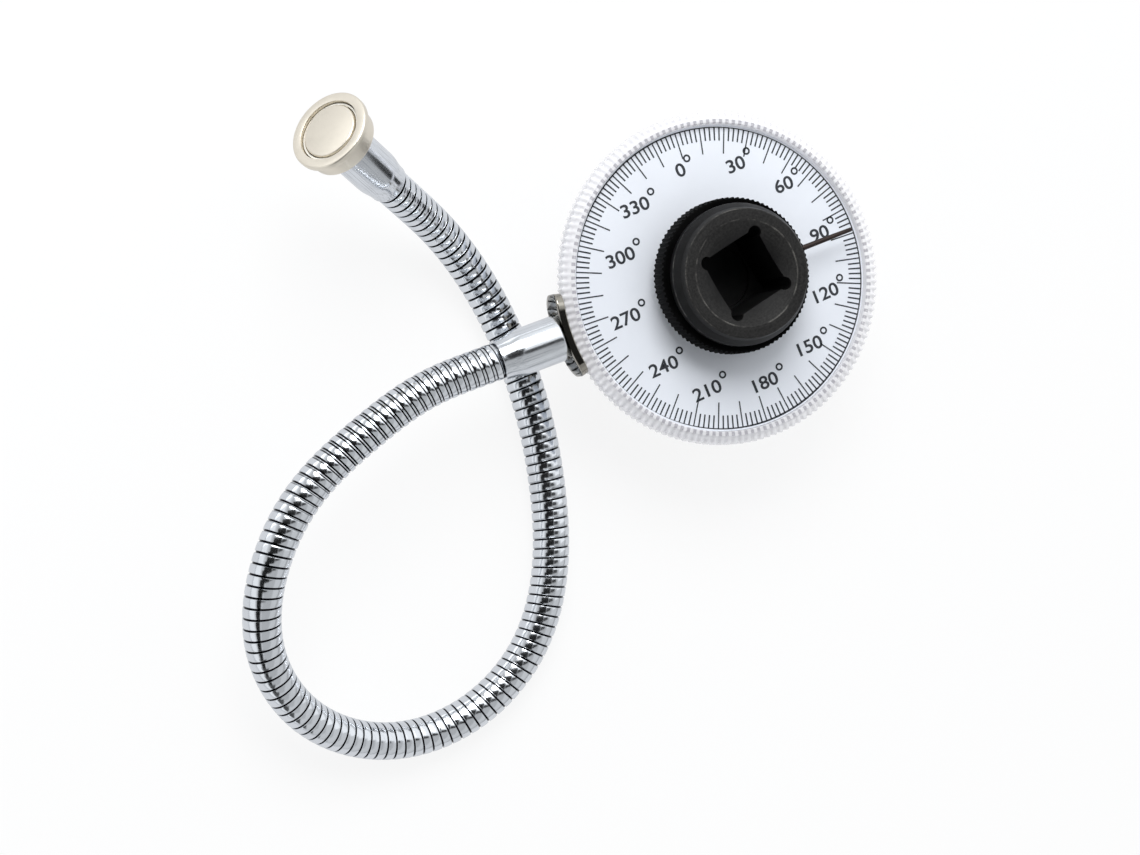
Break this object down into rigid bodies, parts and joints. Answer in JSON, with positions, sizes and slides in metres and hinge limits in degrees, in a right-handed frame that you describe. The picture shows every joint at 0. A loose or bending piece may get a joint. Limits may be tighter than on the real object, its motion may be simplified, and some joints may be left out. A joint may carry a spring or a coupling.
{
  "type": "torque angle gauge",
  "caption": "Torque angle gauge: a square drive passes through a round degree dial with a clear knurled rim, held still by a bendable gooseneck arm with a magnet foot.",
  "frame": {"origin": "centre of the male square's tip face, on the table that the gauge lies on", "axes": "+Z along the drive axis towards the female square; +X and +Y square to the flats of the drive, +X through the detent ball; the arm leaves towards -X"},
  "size_m": [0.1535, 0.1233, 0.0396],
  "materials": {
    "black_oxide_steel": "black oxide, satin, edges worn brighter",
    "blued_wire": "dark blued spring wire",
    "plain_steel": "bare machined steel",
    "nylon": "natural nylon",
    "bronze": "plain sintered bronze",
    "clear_plastic": "clear moulded plastic, glossy",
    "dial_white": "cool white printed dial, satin",
    "nickel_sheet": "nickel plated sheet steel",
    "chrome_steel": "bright chrome, slightly bluish",
    "magnet_nickel": "warm nickel plating, satin"
  },
  "bodies": {
    "arm": {"arm_bracket": "nickel_sheet", "arm_screw": "plain_steel", "arm_ferrule": "chrome_steel", "backing_washer": "plain_steel", "wave_washer": "plain_steel", "gooseneck_1": "chrome_steel"},
    "drive": {"drive_body": "black_oxide_steel", "pointer_collar": "black_oxide_steel", "pointer": "blued_wire", "retaining_ring": "black_oxide_steel", "thrust_washer": "nylon", "detent_spring": "plain_steel"},
    "ball": {"detent_ball": "plain_steel"},
    "scale": {"bezel": "clear_plastic", "dial_plate": "dial_white", "scale_bush": "bronze"},
    "neck_left": {"gooseneck_2": "chrome_steel"},
    "neck_bottom": {"gooseneck_3": "chrome_steel"},
    "neck_right": {"gooseneck_4": "chrome_steel"},
    "magnet": {"gooseneck_5": "chrome_steel", "magnet_ferrule": "chrome_steel", "magnet_cup": "magnet_nickel", "magnet_disc": "magnet_nickel", "magnet_spacer": "nylon", "magnet_screw": "plain_steel"}
  },
  "joints": [
    {"name": "drive_spin", "type": "hinge", "parent": "arm", "child": "drive", "pos_m": [0, 0, 0.019], "axis": [0, 0, 1], "continuous": true},
    {"name": "scale_turn", "type": "hinge", "parent": "arm", "child": "scale", "pos_m": [0, 0, 0.022], "axis": [0, 0, 1], "continuous": true},
    {"name": "detent_press", "type": "slide", "parent": "drive", "child": "ball", "axis": [-1, 0, 0], "range_m": [0, 0.0009], "stiffness_N_per_m": 1000, "springref_m": -0.001, "deforming": ["detent_spring"]},
    {"name": "neck_lift", "type": "hinge", "parent": "arm", "child": "neck_left", "pos_m": [-0.06561, 0.01318, 0.0225], "axis": [0.0122, 0.9999, 0], "range_deg": [-8, 20], "deforming": ["gooseneck_1"]},
    {"name": "neck_swing_left", "type": "hinge", "parent": "neck_left", "child": "neck_bottom", "pos_m": [-0.11538, -0.01297, 0.01843], "axis": [0, 0, 1], "range_deg": [-8, 15], "deforming": ["gooseneck_3"]},
    {"name": "neck_swing_right", "type": "hinge", "parent": "neck_bottom", "child": "neck_right", "pos_m": [-0.06483, -0.04157, 0.00375], "axis": [0, 0, 1], "range_deg": [-5, 15], "deforming": ["gooseneck_4"]},
    {"name": "magnet_lift", "type": "hinge", "parent": "neck_right", "child": "magnet", "pos_m": [-0.03929, 0.03012, 0.00659], "axis": [0.9868, 0.162, 0], "range_deg": [-10, 20], "deforming": ["gooseneck_5"]}
  ]
}
